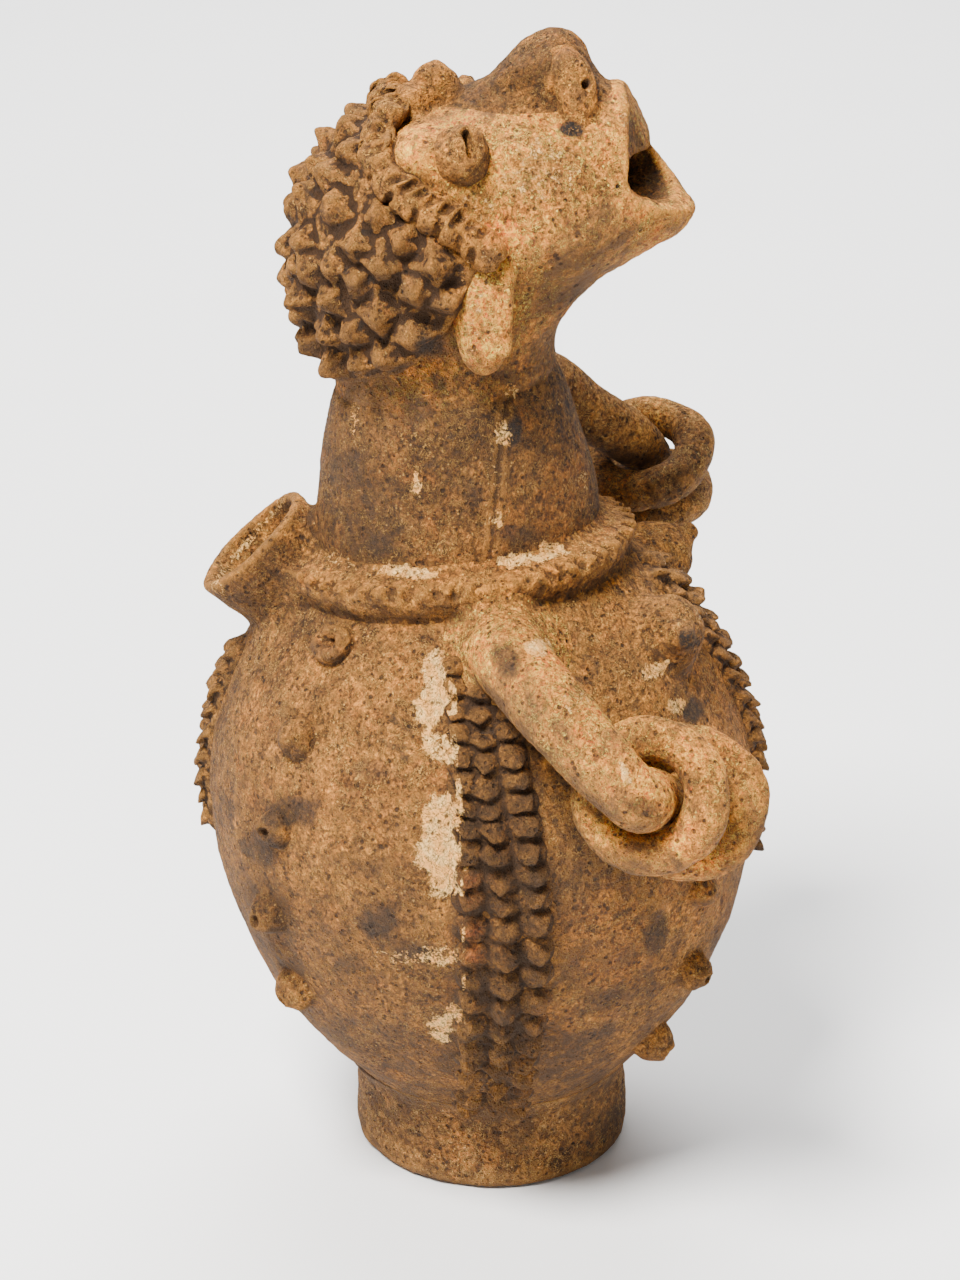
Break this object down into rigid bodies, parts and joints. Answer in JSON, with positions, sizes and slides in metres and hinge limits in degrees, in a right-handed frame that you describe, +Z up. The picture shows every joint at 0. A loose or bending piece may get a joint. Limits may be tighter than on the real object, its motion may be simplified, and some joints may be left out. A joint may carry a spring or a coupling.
{
  "type": "figural terracotta vessel",
  "caption": "Hand-built terracotta vessel in the form of a standing figure: round body on a foot ring, thrown-back open-mouthed head, rear spout, bent arms with loose clay rings.",
  "frame": {"origin": "centre of the bounding box in plan, at the underside of the foot ring", "axes": "+Z up, the figure faces -Y, its right side is -X"},
  "size_m": [0.292, 0.2508, 0.4997],
  "materials": {
    "body_clay": "matte",
    "foot_clay": "matte",
    "head_clay": "matte",
    "hair_clay": "matte",
    "smoked_clay": "matte",
    "slipped_clay": "matte",
    "ring_clay": "matte",
    "band_clay": "matte",
    "pellet_clay": "matte"
  },
  "bodies": {
    "vessel": {"vessel_body": "body_clay", "foot_ring": "foot_clay", "neck": "body_clay", "collar_band": "slipped_clay", "spout": "body_clay", "head": "head_clay", "hair": "hair_clay", "diadem": "smoked_clay", "forehead_pellet": "head_clay", "nose": "smoked_clay", "nostril_right": "head_clay", "nostril_left": "head_clay", "eye_right": "smoked_clay", "eye_left": "smoked_clay", "ear_right": "head_clay", "ear_left": "head_clay", "arm_right": "body_clay", "arm_left": "body_clay", "band_right": "band_clay", "band_left": "band_clay", "band_front": "band_clay", "band_back": "band_clay", "breast_right": "pellet_clay", "breast_left": "pellet_clay", "boss_back_left_1": "pellet_clay", "boss_back_left_2": "pellet_clay", "boss_back_left_3": "pellet_clay", "boss_back_left_4": "pellet_clay", "boss_back_left_5": "pellet_clay", "boss_back_right_1": "pellet_clay", "boss_back_right_2": "pellet_clay", "boss_back_right_3": "pellet_clay", "boss_back_right_4": "pellet_clay", "boss_back_right_5": "pellet_clay", "boss_front_left_1": "pellet_clay", "boss_front_left_2": "pellet_clay", "boss_front_left_3": "pellet_clay", "boss_front_right_1": "pellet_clay", "boss_front_right_2": "pellet_clay", "boss_front_right_3": "pellet_clay"},
    "ring_right_1_body": {"ring_right_1": "ring_clay"},
    "ring_right_2_body": {"ring_right_2": "ring_clay"},
    "ring_left_1_body": {"ring_left_1": "ring_clay"},
    "ring_left_2_body": {"ring_left_2": "ring_clay"}
  },
  "joints": [
    {"name": "ring_right_1_turn", "type": "hinge", "parent": "vessel", "child": "ring_right_1_body", "pos_m": [-0.11841, -0.06571, 0.2242], "axis": [0.8151, -0.352, -0.4601], "continuous": true},
    {"name": "ring_right_2_turn", "type": "hinge", "parent": "vessel", "child": "ring_right_2_body", "pos_m": [-0.09591, -0.08271, 0.2108], "axis": [0.9621, 0.056, -0.267], "continuous": true},
    {"name": "ring_left_1_turn", "type": "hinge", "parent": "vessel", "child": "ring_left_1_body", "pos_m": [0.10119, -0.07221, 0.2884], "axis": [0.4031, -0.2281, -0.8863], "continuous": true},
    {"name": "ring_left_2_turn", "type": "hinge", "parent": "vessel", "child": "ring_left_2_body", "pos_m": [0.11439, -0.07371, 0.2652], "axis": [0.135, -0.114, -0.9843], "continuous": true}
  ]
}
